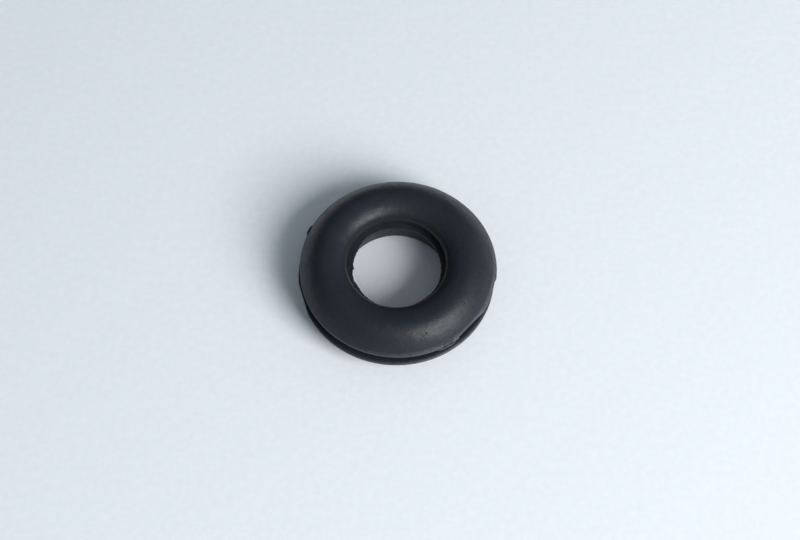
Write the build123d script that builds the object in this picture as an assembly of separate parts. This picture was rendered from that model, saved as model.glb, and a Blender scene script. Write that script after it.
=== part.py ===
from build123d import *
import os
from math import cos, degrees, radians, sin, tan

# Rubber panel grommet, moulded as one piece. Millimetres.
# Origin: on the bore's axis, half way up the groove. +Z: out of the bore, away from the surface it lies on.

# Overall sizes
outer_dia = 25.0  # across both flanges
height = 8.0  # from crown to crown

# Groove that the panel sits in
groove_dia = 18.0  # across the floor of the groove: the panel's hole
groove_width = 1.6  # between the flanges: the panel's thickness
groove_round = 0.2  # inside corners of the groove

# Flanges, alike on both sides outside the bore
edge_depth = 0.4  # upright band at the rim of a flange
edge_round = 0.12  # corner between that band and the groove
rim_slope = 60  # degrees from level at which the dome comes down to the rim
crown_dia = 18.0  # across the circle of a flange's highest points

# Bore
bore_dia = 13.0  # half way up, just under the web
upper_flare = -0.15  # how much wider the bore's radius is where its wall meets the upper mouth's rounding
upper_mouth_depth = 1.8  # height of that rounding, from the wall to the crown
lower_flare = 0.25
lower_mouth_depth = 1.0

# Web that was torn out of the bore, all but a narrow ring
web_thickness = 0.4
web_rise = 0.5  # middle of the web above the middle of the groove
web_root = 0.5  # how deep the web's ring is let into the wall

# The tear ran straight between these corners: direction in degrees from +X, and how far the ring
# stands in from the bore's wall there
web_tear = [
    (0, 0.75),
    (25, 0.7),
    (60, 0.65),
    (90, 0.7),
    (130, 0.6),
    (152, 0.9),
    (176, 0.95),
    (180, 1.1),  # a small tooth
    (184, 0.9),
    (198, 0.85),
    (208, 1.0),
    (222, 0.95),
    (245, 0.9),
    (275, 0.9),
    (305, 0.95),
    (335, 0.75),
]

# Nick in the rim of the upper flange
nick_direction = 318  # degrees from +X
nick_width = 3.0
nick_depth = 0.28

# Flash left on the rim of the upper flange: direction of its middle, length along the rim,
# how far it stands out, and its thickness
flash_marks = [
    (300.5, 2.9, 0.25, 0.25),
    (155.5, 1.6, 0.20, 0.15),
]
flash_root = 0.5  # how deep the flash is let into the flange

outer_r = outer_dia / 2
groove_r = groove_dia / 2
bore_r = bore_dia / 2
groove_top = groove_width / 2
edge_top = groove_top + edge_depth
crown_z = height / 2
crown_r = crown_dia / 2
shoulder_r = outer_r - (crown_z - edge_top) / tan(radians(rim_slope))


def polar(radius, direction):
    return (radius * cos(radians(direction)), radius * sin(radians(direction)))


def flange(flare, mouth_depth):
    """Outline of the upper half of the section, from the floor of the groove over the crown to the wall."""
    floor_end = groove_top - groove_round
    mouth_r = bore_r + flare
    mouth_z = crown_z - mouth_depth
    return Curve() + [
        CenterArc((groove_r + groove_round, floor_end), groove_round, 90, 90),
        Line((groove_r + groove_round, groove_top), (outer_r - edge_round, groove_top)),
        CenterArc((outer_r - edge_round, groove_top + edge_round), edge_round, -90, 90),
        Line((outer_r, groove_top + edge_round), (outer_r, edge_top)),
        Bezier((outer_r, edge_top), (shoulder_r, crown_z), (crown_r, crown_z)),
        EllipticalCenterArc((crown_r, mouth_z), crown_r - mouth_r, mouth_depth, 90, arc_size=90),
        Line((mouth_r, mouth_z), (bore_r, 0)),
    ]


def section():
    """Section of the ring on one side of the bore's axis: across is the radius, up is the height."""
    floor_end = groove_top - groove_round
    floor = Line((groove_r, -floor_end), (groove_r, floor_end))
    lower = mirror(flange(lower_flare, lower_mouth_depth), about=Plane.XZ)
    return make_face(flange(upper_flare, upper_mouth_depth) + lower + floor)


def web():
    """Ring of the torn web, with its ragged opening."""
    tear = Polyline(*[polar(bore_r - reach, direction) for direction, reach in web_tear], close=True)
    ring = Circle(bore_r + web_root) - make_face(tear)
    return extrude(Plane.XY.offset(web_rise - web_thickness / 2) * ring, amount=web_thickness)


def flash(direction, length, reach, thickness):
    """Thin crescent of flash on the rim of the upper flange, level with the dome's lower edge."""
    half_angle = degrees(length / 2 / outer_r)
    start = polar(outer_r, direction - half_angle)
    end = polar(outer_r, direction + half_angle)
    outside = ThreePointArc(start, polar(outer_r + reach, direction), end)
    inside = Polyline(end, polar(outer_r - flash_root, direction), start)
    crescent = make_face(Curve() + [outside, inside])
    return extrude(Plane.XY.offset(edge_top - thickness) * crescent, amount=thickness)


def nick():
    """Block that cuts the nick, from the groove up through the upper flange."""
    block = Box(outer_r, nick_width, crown_z, align=(Align.MIN, Align.CENTER, Align.MIN))
    return Rot(0, 0, nick_direction) * Pos(outer_r - nick_depth, 0, 0) * block


grommet = revolve(Plane.XZ * section(), Axis.Z) + web()
for direction, length, reach, thickness in flash_marks:
    grommet = grommet + flash(direction, length, reach, thickness)
grommet = grommet - nick()
grommet.label = "grommet"

os.makedirs("parts", exist_ok=True)
export_step(grommet, "parts/grommet.step")
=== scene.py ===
import math

import bpy
import numpy as np
from mathutils import Matrix, Vector


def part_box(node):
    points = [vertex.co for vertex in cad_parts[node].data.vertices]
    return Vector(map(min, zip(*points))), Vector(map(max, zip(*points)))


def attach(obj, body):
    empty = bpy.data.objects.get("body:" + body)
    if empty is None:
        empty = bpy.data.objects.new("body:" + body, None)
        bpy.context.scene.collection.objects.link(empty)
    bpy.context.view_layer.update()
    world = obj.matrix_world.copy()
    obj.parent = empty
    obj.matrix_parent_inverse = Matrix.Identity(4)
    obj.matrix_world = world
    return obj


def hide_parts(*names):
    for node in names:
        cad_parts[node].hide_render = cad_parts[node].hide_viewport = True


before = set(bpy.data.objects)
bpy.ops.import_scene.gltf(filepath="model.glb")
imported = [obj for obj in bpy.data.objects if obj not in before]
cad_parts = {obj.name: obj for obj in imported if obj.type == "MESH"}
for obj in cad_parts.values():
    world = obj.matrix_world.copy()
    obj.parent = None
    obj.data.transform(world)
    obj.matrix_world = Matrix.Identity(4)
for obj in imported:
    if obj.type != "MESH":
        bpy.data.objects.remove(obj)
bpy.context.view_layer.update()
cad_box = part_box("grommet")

# Lengths are in millimetres and directions in degrees from +X, until a mesh or a node is given metres.
MM = 0.001

# The section, from the same sizes as the CAD part. Radii are from the bore's axis, heights from the groove's middle.
OUTER_R = 12.5
CROWN_Z = 4.0
CROWN_R = 9.0  # where the dome is highest
GROOVE_R = 9.0  # the groove's floor
GROOVE_TOP = 0.8
GROOVE_ROUND = 0.2
EDGE_TOP = 1.2  # the top of the rim's upright edge
EDGE_ROUND = 0.12
RIM_SLOPE = 60  # the dome's steepness where it leaves the rim
BORE_R = 6.5
UPPER_FLARE = -0.15  # how much wider than the bore the wall is where the mouth's rounding starts
UPPER_MOUTH_DEPTH = 1.8
LOWER_FLARE = 0.25
LOWER_MOUTH_DEPTH = 1.0
WEB_TOP = 0.7
WEB_BOTTOM = 0.3

# The tear runs straight between these corners: direction, and how far the web stands in from the wall
WEB_TEAR = [
    (0, 0.75),
    (25, 0.7),
    (60, 0.65),
    (90, 0.7),
    (130, 0.6),
    (152, 0.9),
    (176, 0.95),
    (180, 1.1),
    (184, 0.9),
    (198, 0.85),
    (208, 1.0),
    (222, 0.95),
    (245, 0.9),
    (275, 0.9),
    (305, 0.95),
    (335, 0.75),
]
TEAR_WAVES = [(41, 0.016), (67, 0.018), (101, 0.014), (151, 0.010)]  # waves round the torn edge, height of each
WEB_CURL = 0.10  # how far the torn edge turns up on its longer side
CURL_DIRECTION = 205
CURL_SPREAD = 50.0
WEB_ROUGH = 0.005  # height of each wave on the web's faces
ROUGH_WAVES = 24
ROUGH_COUNTS = (10, 90)  # fewest, and one more than the most, of one wave round the axis
ROUGH_SLANT = 20  # the most that a wave turns on its way to the torn edge, in radians
ROUGH_LEAST = 0.35  # the share of the roughness that is there away from the curl
ROUGH_RISE = 3  # the roughness is full once this many times the way to the torn edge is 1

# The upper rim has a straight nick and two tags of flash, and the lower rim a flattened run
NICK_DIRECTION = 318
NICK_R = 12.32  # how far the nick's straight edge is from the axis
NICK_SPAN = (-9, 14)  # degrees either side of its direction, up to the flash's end
FLAT_DIRECTION = 197
FLAT_R = 12.36
FLAT_SPAN = (-15, 15)
FLASH_MARKS = [
    # direction of the middle, length along the rim, how far it stands out, thickness
    (300.5, 2.9, 0.25, 0.25),
    (155.5, 1.6, 0.20, 0.15),
]
FLASH_TAPER = 4  # power that keeps the flash full along its middle and ends it quickly
FLASH_ABOVE = 0.02  # the flash takes in this much over the edge's top
FLASH_ROOT = 0.2  # and this much in from the rim
CREASE_R = 12.44  # crease behind the flash
CREASE_HALF = 0.07
CREASE_DEPTH = 0.22
CREASE_REACH = 0.25  # the crease has its full depth behind flash that stands out this far

# The flanges of the soft moulding aren't quite round or on the bore's axis
UPPER_SHIFT = (0.19, -0.04)
LOWER_SHIFT = (0.03, -0.10)
LOWER_GROWTH = 0.08
STEP_DIRECTION = -8  # where the upper rim steps out
STEP_OUT = 0.17
STEP_RISE = 2.0  # degrees over which it steps out
STEP_FADE = 55  # degrees over which it comes back in
STEP_HOLD = 3  # power that keeps the step near the rim

# Faint rings on the bore's wall: height, how far it stands in
WALL_RIDGES = [(1.35, 0.025), (1.9, 0.035), (2.45, 0.03)]
RIDGE_HALF = 0.12
RIDGE_LIMIT = 1.2  # the rings stop this far out from the bore's wall

# Divisions of the mesh: round the axis, and along each stretch of the section
AROUND = 480
FLOOR_ROWS = 3
CORNER_ROWS = 4
FACE_ROWS = 6
EDGE_ROWS = 5
BAND_ROWS = 6
UPPER_DOME_ROWS = 38
UPPER_MOUTH_ROWS = 30
UPPER_WALL_ROWS = 16
WEB_TOP_ROWS = 16
WEB_TIP_ROWS = 3
WEB_UNDER_ROWS = 6
LOWER_WALL_ROWS = 8
LOWER_MOUTH_ROWS = 12
LOWER_DOME_ROWS = 24
DOME_FINENESS = 20  # points on the dome for each one that is picked
DOME_CROWDING = 1.4  # power that crowds the picked points towards the rim
DOME_LOOKUP = 60  # points on the dome when a place on it is looked up
SHARP_ANGLE = 50
SEED = 7

# Noises: size of the features, detail, roughness
MOTTLE = (1.4, 6.0, 0.6)
PATCHES = (5.0, 3.0, 0.55)
SCUFFS = (0.5, 5.0, 0.65)
GRAIN = (0.12, 3.0, 0.55)
FIBRE = (0.9, 5.0, 0.6)

# How a noise is used: the range of it that counts, and what its two ends give, where that isn't 0 and 1
MOTTLE_TONE = (0.35, 0.68)
BLOOM_AMOUNT = (0.45, 0.75, 0.0, 0.4)
RIM_HIGHLIGHT_PATCHES = (0.35, 0.6, 0.4, 0.9)
BORE_LIGHT_PATCHES = (0.3, 0.65, 0.5, 1.0)
RUBBER_ROUGHNESS = (0.3, 0.7, 0.50, 0.38)
FIBRE_TONE = (0.35, 0.65)

# Rubber
RUBBER_DARK = (0.0095, 0.0145, 0.0210, 1)
RUBBER_LIGHT = (0.0130, 0.0182, 0.0258, 1)
BLOOM = (0.019, 0.023, 0.026, 1)
# Painted highlight along the rim, in patches, brightest on the window's side
RIM_HIGHLIGHT_PAINT = (0.070, 0.078, 0.090, 1)
RIM_HIGHLIGHT_WIDTH = 0.25  # how far in from the rim the painted highlight reaches
RIM_HIGHLIGHT_DIRECTION = -30  # the side of the rim where the painted highlight is brightest, towards the window
RIM_HIGHLIGHT_START = -2  # the painted highlight grows from this far along that direction, out to the rim
RIM_HIGHLIGHT_LEAST = 0.1
# Painted bounce light in the bore, lighter than the rubber
BORE_LIGHT_PAINT = (0.016, 0.020, 0.024, 1)
BORE_LIGHT_START_R = 7.4  # the painted bounce light in the bore grows from here
BORE_LIGHT_FULL_R = 6.6
PINHOLE = (290.5, 10.9)  # direction, radius
PINHOLE_RADIUS = 0.17
# Painted shade that stands in for the pinhole's depth
PINHOLE_SHADE_PAINT = (0.002, 0.002, 0.003, 1)
SPECK = (168, 11.9)
SPECK_RADIUS = 0.13
SPECK_COLOUR = (0.10, 0.11, 0.12, 1)
SPOT_CORE = 0.4  # the share of a spot's radius over which it is full
MOTTLE_BUMP = 0.09
SCUFF_BUMP = 0.022
GRAIN_BUMP = 0.007
PINHOLE_BUMP = 0.04
RUBBER_IOR = 1.5
RUBBER_SPECULAR = 0.3

# Paper that the part lies on
PAPER_DARK = (0.80, 0.85, 0.91, 1)
PAPER_LIGHT = (0.84, 0.88, 0.94, 1)
FIBRE_BUMP = 0.02
PAPER_ROUGHNESS = 0.9
PAPER_SPECULAR = 0.2
FLOOR_SIZE = 3.0  # metres

# Light, in metres and watts
WINDOW_AZIMUTH = -42
WINDOW_ELEVATION = 36
WINDOW_DISTANCE = 0.6
WINDOW_SIZE = (0.31, 0.34)
WINDOW_POWER = 4.5
WINDOW_COLOUR = (1.0, 0.99, 0.97)
ROOM_COLOUR = (0.84, 0.93, 1.0, 1)
ROOM_DARK = 0.12
ROOM_BRIGHT = 0.48

# Camera
VIEW_ELEVATION = 63.25
VIEW_DISTANCE = 225.0
FOCAL = 79.0
SENSOR_WIDTH = 36.0
VIEW_ROLL = 0.555
AIM = (0.49, 0.11)  # how far the view's middle lies right of and above the part's middle
NEAREST_SEEN = 0.005  # metres
FURTHEST_SEEN = 10

# Sockets of the Mix node when it mixes colours
MIX_SHARE = 0
MIX_FIRST = 6
MIX_SECOND = 7
MIX_COLOUR = 2

AZ = np.arange(AROUND) * 360.0 / AROUND


def apart(heading):
    """Degrees from a heading to each division, from -180 to 180."""
    return (AZ - heading + 180) % 360 - 180


def direction(azimuth, elevation):
    """A vector of length 1 that points at an azimuth and an elevation."""
    turn, rise = math.radians(azimuth), math.radians(elevation)
    return Vector((math.cos(turn) * math.cos(rise), math.sin(turn) * math.cos(rise), math.sin(rise)))


# ---- The section ----

def run(start, end, count):
    """Points on a straight run, without its last point."""
    share = np.linspace(0, 1, count, endpoint=False)[:, None]
    return np.array(start) * (1 - share) + np.array(end) * share


def arc(centre, across, up, first, last, count):
    """Points on an elliptical arc, without its last point. Angles are in degrees from the way out."""
    turn = np.radians(np.linspace(first, last, count, endpoint=False))
    return np.stack([centre[0] + across * np.cos(turn), centre[1] + up * np.sin(turn)], 1)


def dome(count):
    """Points on the dome, from the rim up to the crown, without the last point."""
    shoulder = (OUTER_R - (CROWN_Z - EDGE_TOP) / math.tan(math.radians(RIM_SLOPE)), CROWN_Z)
    first = run((OUTER_R, EDGE_TOP), shoulder, count)
    second = run(shoulder, (CROWN_R, CROWN_Z), count)
    share = np.linspace(0, 1, count, endpoint=False)[:, None]
    return first * (1 - share) + second * share


def crowded_dome(count):
    """Points on the dome, closer together near the rim."""
    points = dome(count * DOME_FINENESS)
    picks = len(points) * np.linspace(0, 1, count, endpoint=False) ** DOME_CROWDING
    return points[picks.astype(int)]


def dome_point(heading, radius):
    """The point on the dome at a heading and a radius."""
    outline = dome(DOME_LOOKUP)[::-1]
    turn = math.radians(heading)
    return (radius * math.cos(turn), radius * math.sin(turn), float(np.interp(radius, *outline.T)))


def flange(flare, mouth_depth, dome_rows, mouth_rows):
    """Half the section, from the groove's floor out to the rim, over the crown and down the mouth."""
    floor_end = GROOVE_TOP - GROOVE_ROUND
    corner_r = GROOVE_R + GROOVE_ROUND
    edge_r = OUTER_R - EDGE_ROUND
    mouth_r = BORE_R + flare
    mouth_z = CROWN_Z - mouth_depth
    return np.concatenate([
        arc((corner_r, floor_end), GROOVE_ROUND, GROOVE_ROUND, 180, 90, CORNER_ROWS),
        run((corner_r, GROOVE_TOP), (edge_r, GROOVE_TOP), FACE_ROWS),
        arc((edge_r, GROOVE_TOP + EDGE_ROUND), EDGE_ROUND, EDGE_ROUND, -90, 0, EDGE_ROWS),
        run((OUTER_R, GROOVE_TOP + EDGE_ROUND), (OUTER_R, EDGE_TOP), BAND_ROWS),
        crowded_dome(dome_rows),
        arc((CROWN_R, mouth_z), CROWN_R - mouth_r, mouth_depth, 90, 180, mouth_rows),
        [(mouth_r, mouth_z)],
    ])


def plain(points):
    """Rows of the section that are off the web."""
    return np.hstack([points, np.zeros((len(points), 1))])


def web(heights, shares):
    """Rows of the section on the web. They start on the bore's wall and are stood in later, by their share."""
    count = len(shares)
    return np.stack([np.full(count, BORE_R), np.full(count, heights), shares], 1)


def section():
    """The section, as (radius, height, share) rows. Share is 0 off the web and 1 at its torn edge."""
    floor_end = GROOVE_TOP - GROOVE_ROUND
    floor_run = run((GROOVE_R, -floor_end), (GROOVE_R, floor_end), FLOOR_ROWS)
    upper = flange(UPPER_FLARE, UPPER_MOUTH_DEPTH, UPPER_DOME_ROWS, UPPER_MOUTH_ROWS)
    lower = flange(LOWER_FLARE, LOWER_MOUTH_DEPTH, LOWER_DOME_ROWS, LOWER_MOUTH_ROWS)[::-1] * (1, -1)
    wall_up = run(upper[-1], (BORE_R, WEB_TOP), UPPER_WALL_ROWS)[1:]
    wall_down = run((BORE_R, WEB_BOTTOM), lower[0], LOWER_WALL_ROWS)
    tip_heights = np.linspace(WEB_TOP, WEB_BOTTOM, WEB_TIP_ROWS + 2)[1:-1]
    return np.concatenate([
        plain(floor_run),
        plain(upper),
        plain(wall_up),
        web(WEB_TOP, np.linspace(0, 1, WEB_TOP_ROWS)),
        web(tip_heights, np.ones(WEB_TIP_ROWS)),
        web(WEB_BOTTOM, np.linspace(1, 0, WEB_UNDER_ROWS, endpoint=False)),
        plain(wall_down),
        plain(lower[:-1]),
    ])


# ---- What makes the moulding uneven ----

def ridge_wall(radius, height, share):
    """Faint rings that the mould left on the upper part of the bore's wall."""
    wall = (share == 0) & (radius < BORE_R + RIDGE_LIMIT)
    for rise, reach in WALL_RIDGES:
        radius = radius - wall * reach * np.exp(-((height - rise) / RIDGE_HALF) ** 2)
    return radius


def web_reach(draw):
    """How far the torn edge stands in from the bore's wall, in every direction, with its raggedness."""
    ragged = np.zeros(AROUND)
    for count, size in TEAR_WAVES:
        ragged += size * np.sin(np.radians(AZ) * count + draw.uniform(0, 2 * math.pi))
    corners, depths = np.array(WEB_TEAR, float).T
    return np.interp(AZ, corners, depths, period=360) + ragged


def tear_web(radius, height, share, draw):
    """Stands the web in to its torn edge, turns part of the edge up and roughens it."""
    radius = radius - share * web_reach(draw)[:, None]
    curl = np.exp(-(apart(CURL_DIRECTION) / CURL_SPREAD) ** 2)
    height = height + WEB_CURL * curl[:, None] * share ** 2
    rough = np.zeros_like(radius)
    for _ in range(ROUGH_WAVES):
        count = draw.randint(*ROUGH_COUNTS)
        slant = draw.uniform(-ROUGH_SLANT, ROUGH_SLANT)
        phase = draw.uniform(0, 2 * math.pi)
        rough += np.sin(np.radians(AZ)[:, None] * count + slant * share + phase)
    torn = ROUGH_LEAST + (1 - ROUGH_LEAST) * curl
    return radius, height + WEB_ROUGH * torn[:, None] * rough * np.minimum(1, share * ROUGH_RISE)


def flange_share(radius):
    """0 in the bore and at the groove's floor, 1 at the rim."""
    return np.clip((radius - GROOVE_R) / (OUTER_R - GROOVE_R), 0, 1)


def misshape(radius, height):
    """Moves each flange a little, grows the lower one, and steps the upper rim out."""
    turn = np.radians(AZ)
    after = apart(STEP_DIRECTION)
    rise = np.clip(after / STEP_RISE + 0.5, 0, 1)
    step = STEP_OUT * rise * np.clip(1 - after / STEP_FADE, 0, 1)
    upper = UPPER_SHIFT[0] * np.cos(turn) + UPPER_SHIFT[1] * np.sin(turn)
    lower = LOWER_SHIFT[0] * np.cos(turn) + LOWER_SHIFT[1] * np.sin(turn) + LOWER_GROWTH
    near_rim = flange_share(radius)
    above = upper[:, None] * near_rim + step[:, None] * near_rim ** STEP_HOLD
    return radius + np.where(height > 0, above, lower[:, None] * near_rim)


def add_flash(radius, height):
    """Stands the flash out of the upper rim, with a crease behind it."""
    for heading, length, reach, thickness in FLASH_MARKS:
        half = math.degrees(length / 2 / OUTER_R)
        along = np.clip(1 - (apart(heading) / half) ** FLASH_TAPER, 0, 1)[:, None]
        level = (height > EDGE_TOP - thickness) & (height < EDGE_TOP + FLASH_ABOVE)
        lip = level & (radius > OUTER_R - FLASH_ROOT)
        crease = np.exp(-((radius - CREASE_R) / CREASE_HALF) ** 2) * (height > EDGE_TOP)
        height = height - CREASE_DEPTH * np.sqrt(along) * crease * (reach / CREASE_REACH)
        radius = radius + np.where(lip, reach * along, 0)
    return radius, height


def cut_straight(radius, flange_side, heading, straight_r, span):
    """Cuts one flange's rim straight, at a distance from the axis, over a span of degrees round a heading."""
    off = np.radians(apart(heading))[:, None]
    inside = flange_side & (off > math.radians(span[0])) & (off < math.radians(span[1]))
    return np.where(inside, np.minimum(radius, straight_r / np.cos(off)), radius)


def grommet_mesh():
    """The section turned about the bore's axis, with what makes the moulding uneven."""
    profile = section()
    count = len(profile)
    radius, height, share = [np.repeat(profile[None, :, column], AROUND, 0) for column in range(3)]
    draw = np.random.RandomState(SEED)
    radius = ridge_wall(radius, height, share)
    radius, height = tear_web(radius, height, share, draw)
    radius = misshape(radius, height)
    radius, height = add_flash(radius, height)
    radius = cut_straight(radius, height > 0, NICK_DIRECTION, NICK_R, NICK_SPAN)
    radius = cut_straight(radius, height < 0, FLAT_DIRECTION, FLAT_R, FLAT_SPAN)
    turn = np.radians(AZ)[:, None]
    points = np.stack([radius * np.cos(turn), radius * np.sin(turn), height], 2) * MM
    here = np.arange(AROUND)[:, None]
    row = np.arange(count)[None, :]
    beside, next_row = (here + 1) % AROUND, (row + 1) % count
    corners = [here * count + row, beside * count + row, beside * count + next_row, here * count + next_row]
    quads = np.stack(corners, 2).reshape(-1, 4)
    mesh = bpy.data.meshes.new("grommet_rubber")
    mesh.from_pydata(points.reshape(-1, 3).tolist(), [], quads.tolist())
    mesh.validate()
    mesh.polygons.foreach_set("use_smooth", [True] * len(mesh.polygons))
    mesh.set_sharp_from_angle(angle=math.radians(SHARP_ANGLE))
    mesh.update()
    return mesh


# ---- Node helpers ----

def add(tree, kind, inputs=None, **settings):
    """A node of a kind, with its settings, and its inputs given as values or as sockets to link."""
    made = tree.nodes.new(kind)
    for name, value in settings.items():
        setattr(made, name, value)
    for name, value in (inputs or {}).items():
        if isinstance(value, bpy.types.NodeSocket):
            tree.links.new(value, made.inputs[name])
        else:
            made.inputs[name].default_value = value
    return made


def noise(tree, place, size, detail, roughness):
    """Noise whose features are about a size in millimetres."""
    inputs = {"Vector": place, "Scale": 1 / (size * MM), "Detail": detail, "Roughness": roughness}
    return add(tree, "ShaderNodeTexNoise", inputs).outputs["Fac"]


def spread(tree, value, low, high, to_low=0.0, to_high=1.0):
    """A value mapped from one range to another, kept inside it."""
    inputs = {"Value": value, "From Min": low, "From Max": high, "To Min": to_low, "To Max": to_high}
    return add(tree, "ShaderNodeMapRange", inputs).outputs["Result"]


def product(tree, first, second):
    """Two values multiplied."""
    return add(tree, "ShaderNodeMath", {0: first, 1: second}, operation="MULTIPLY").outputs[0]


def along(tree, place, way):
    """How far a place lies along a way from the origin."""
    return add(tree, "ShaderNodeVectorMath", {0: place, 1: way}, operation="DOT_PRODUCT").outputs["Value"]


def blend(tree, share, first, second):
    """Two colours mixed, from the first at a share of 0 to the second at 1."""
    inputs = {MIX_SHARE: share, MIX_FIRST: first, MIX_SECOND: second}
    return add(tree, "ShaderNodeMix", inputs, data_type="RGBA").outputs[MIX_COLOUR]


def spot(tree, place, centre, radius):
    """1 at a place on the surface, falling to 0 at a radius round it."""
    point = [length * MM for length in centre]
    gap = add(tree, "ShaderNodeVectorMath", {0: place, 1: point}, operation="DISTANCE").outputs["Value"]
    return spread(tree, gap, radius * MM * SPOT_CORE, radius * MM, 1.0, 0.0)


def bump(tree, height, depth, normal=None):
    """Bump of a depth in millimetres."""
    inputs = {"Height": height, "Distance": depth * MM, "Strength": 1.0}
    if normal:
        inputs["Normal"] = normal
    return add(tree, "ShaderNodeBump", inputs).outputs["Normal"]


# ---- Materials ----

def rubber():
    """Bluish black moulded rubber: mottled, with a grey bloom, a painted highlight along the rim, painted bounce
    light in the bore, a pinhole darkened with painted shade, and a speck.
    """
    material = bpy.data.materials.new("moulded_rubber")
    material.use_nodes = True
    tree = material.node_tree
    shader = tree.nodes["Principled BSDF"]
    place = add(tree, "ShaderNodeTexCoord").outputs["Object"]
    flat = add(tree, "ShaderNodeVectorMath", {0: place, 1: (1, 1, 0)}, operation="MULTIPLY").outputs["Vector"]
    radius = add(tree, "ShaderNodeVectorMath", {0: flat}, operation="LENGTH").outputs["Value"]

    mottle = noise(tree, place, *MOTTLE)
    patches = noise(tree, place, *PATCHES)
    scuffs = noise(tree, place, *SCUFFS)
    grain = noise(tree, place, *GRAIN)
    colour = blend(tree, spread(tree, mottle, *MOTTLE_TONE), RUBBER_DARK, RUBBER_LIGHT)
    colour = blend(tree, spread(tree, patches, *BLOOM_AMOUNT), colour, BLOOM)
    # Painted highlight: the rim is lightened in patches that follow the scuffs noise, most on the window's side
    rim = spread(tree, radius, (OUTER_R - RIM_HIGHLIGHT_WIDTH) * MM, OUTER_R * MM)
    painted_rim_highlight = product(tree, rim, spread(tree, scuffs, *RIM_HIGHLIGHT_PATCHES))
    side = along(tree, place, tuple(direction(RIM_HIGHLIGHT_DIRECTION, 0)))
    side = spread(tree, side, RIM_HIGHLIGHT_START * MM, OUTER_R * MM, RIM_HIGHLIGHT_LEAST, 1.0)
    colour = blend(tree, product(tree, painted_rim_highlight, side), colour, RIM_HIGHLIGHT_PAINT)
    # Painted bounce light: the rubber is lightened in patches towards the bore's wall
    in_bore = spread(tree, radius, BORE_LIGHT_START_R * MM, BORE_LIGHT_FULL_R * MM)
    painted_bore_light = product(tree, in_bore, spread(tree, mottle, *BORE_LIGHT_PATCHES))
    colour = blend(tree, painted_bore_light, colour, BORE_LIGHT_PAINT)
    pinhole = spot(tree, place, dome_point(*PINHOLE), PINHOLE_RADIUS)
    # Painted shade darkens the pinhole
    colour = blend(tree, pinhole, colour, PINHOLE_SHADE_PAINT)
    speck = spot(tree, place, dome_point(*SPECK), SPECK_RADIUS)
    colour = blend(tree, speck, colour, SPECK_COLOUR)
    tree.links.new(colour, shader.inputs["Base Color"])

    tree.links.new(spread(tree, mottle, *RUBBER_ROUGHNESS), shader.inputs["Roughness"])
    normal = bump(tree, mottle, MOTTLE_BUMP)
    normal = bump(tree, scuffs, SCUFF_BUMP, normal)
    normal = bump(tree, grain, GRAIN_BUMP, normal)
    normal = bump(tree, spread(tree, pinhole, 0.0, 1.0, 1.0, 0.0), PINHOLE_BUMP, normal)
    tree.links.new(normal, shader.inputs["Normal"])
    shader.inputs["IOR"].default_value = RUBBER_IOR
    shader.inputs["Specular IOR Level"].default_value = RUBBER_SPECULAR
    return material


def paper():
    """White paper with a faint fibre."""
    material = bpy.data.materials.new("paper")
    material.use_nodes = True
    tree = material.node_tree
    shader = tree.nodes["Principled BSDF"]
    place = add(tree, "ShaderNodeTexCoord").outputs["Object"]
    fibre = noise(tree, place, *FIBRE)
    colour = blend(tree, spread(tree, fibre, *FIBRE_TONE), PAPER_DARK, PAPER_LIGHT)
    tree.links.new(colour, shader.inputs["Base Color"])
    tree.links.new(bump(tree, fibre, FIBRE_BUMP), shader.inputs["Normal"])
    shader.inputs["Roughness"].default_value = PAPER_ROUGHNESS
    shader.inputs["Specular IOR Level"].default_value = PAPER_SPECULAR
    return material


# ---- Light and camera ----

def window():
    """A lamp the size of a small window, facing the part."""
    lamp = bpy.data.lights.new("window", "AREA")
    lamp.shape = "RECTANGLE"
    lamp.size, lamp.size_y = WINDOW_SIZE
    lamp.energy = WINDOW_POWER
    lamp.color = WINDOW_COLOUR
    placed = bpy.data.objects.new("window", lamp)
    bpy.context.scene.collection.objects.link(placed)
    placed.location = direction(WINDOW_AZIMUTH, WINDOW_ELEVATION) * WINDOW_DISTANCE
    placed.rotation_euler = (-placed.location).to_track_quat("-Z", "Y").to_euler()


def room():
    """An even room, brighter on the window's side."""
    world = bpy.data.worlds.new("room")
    world.use_nodes = True
    tree = world.node_tree
    way = add(tree, "ShaderNodeTexCoord").outputs["Generated"]
    side = along(tree, way, tuple(direction(WINDOW_AZIMUTH, 0)))
    background = tree.nodes["Background"]
    tree.links.new(spread(tree, side, -1.0, 1.0, ROOM_DARK, ROOM_BRIGHT), background.inputs["Strength"])
    background.inputs["Color"].default_value = ROOM_COLOUR
    return world


def view_camera():
    """The camera, aimed close to the part's middle from in front and above."""
    data = bpy.data.cameras.new("camera")
    data.lens = FOCAL
    data.sensor_width = SENSOR_WIDTH
    data.clip_start = NEAREST_SEEN
    data.clip_end = FURTHEST_SEEN
    camera = bpy.data.objects.new("camera", data)
    bpy.context.scene.collection.objects.link(camera)
    tilt = Matrix.Rotation(math.radians(90 - VIEW_ELEVATION), 4, "X")
    roll = Matrix.Rotation(math.radians(VIEW_ROLL), 4, "Z")
    camera.matrix_world = tilt @ roll @ Matrix.Translation(Vector((*AIM, VIEW_DISTANCE)) * MM)
    return camera


# ---- The scene ----

grommet = bpy.data.objects.new("grommet_rubber", grommet_mesh())
bpy.context.scene.collection.objects.link(grommet)
grommet.data.materials.append(rubber())
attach(grommet, "root")
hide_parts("grommet")

bpy.ops.mesh.primitive_plane_add(size=FLOOR_SIZE, location=(0, 0, cad_box[0].z))
floor = bpy.context.object
floor.name = "paper_floor"
floor.data.materials.append(paper())

window()
bpy.context.scene.world = room()
bpy.context.scene.camera = view_camera()
bpy.context.scene.view_settings.view_transform = "Standard"
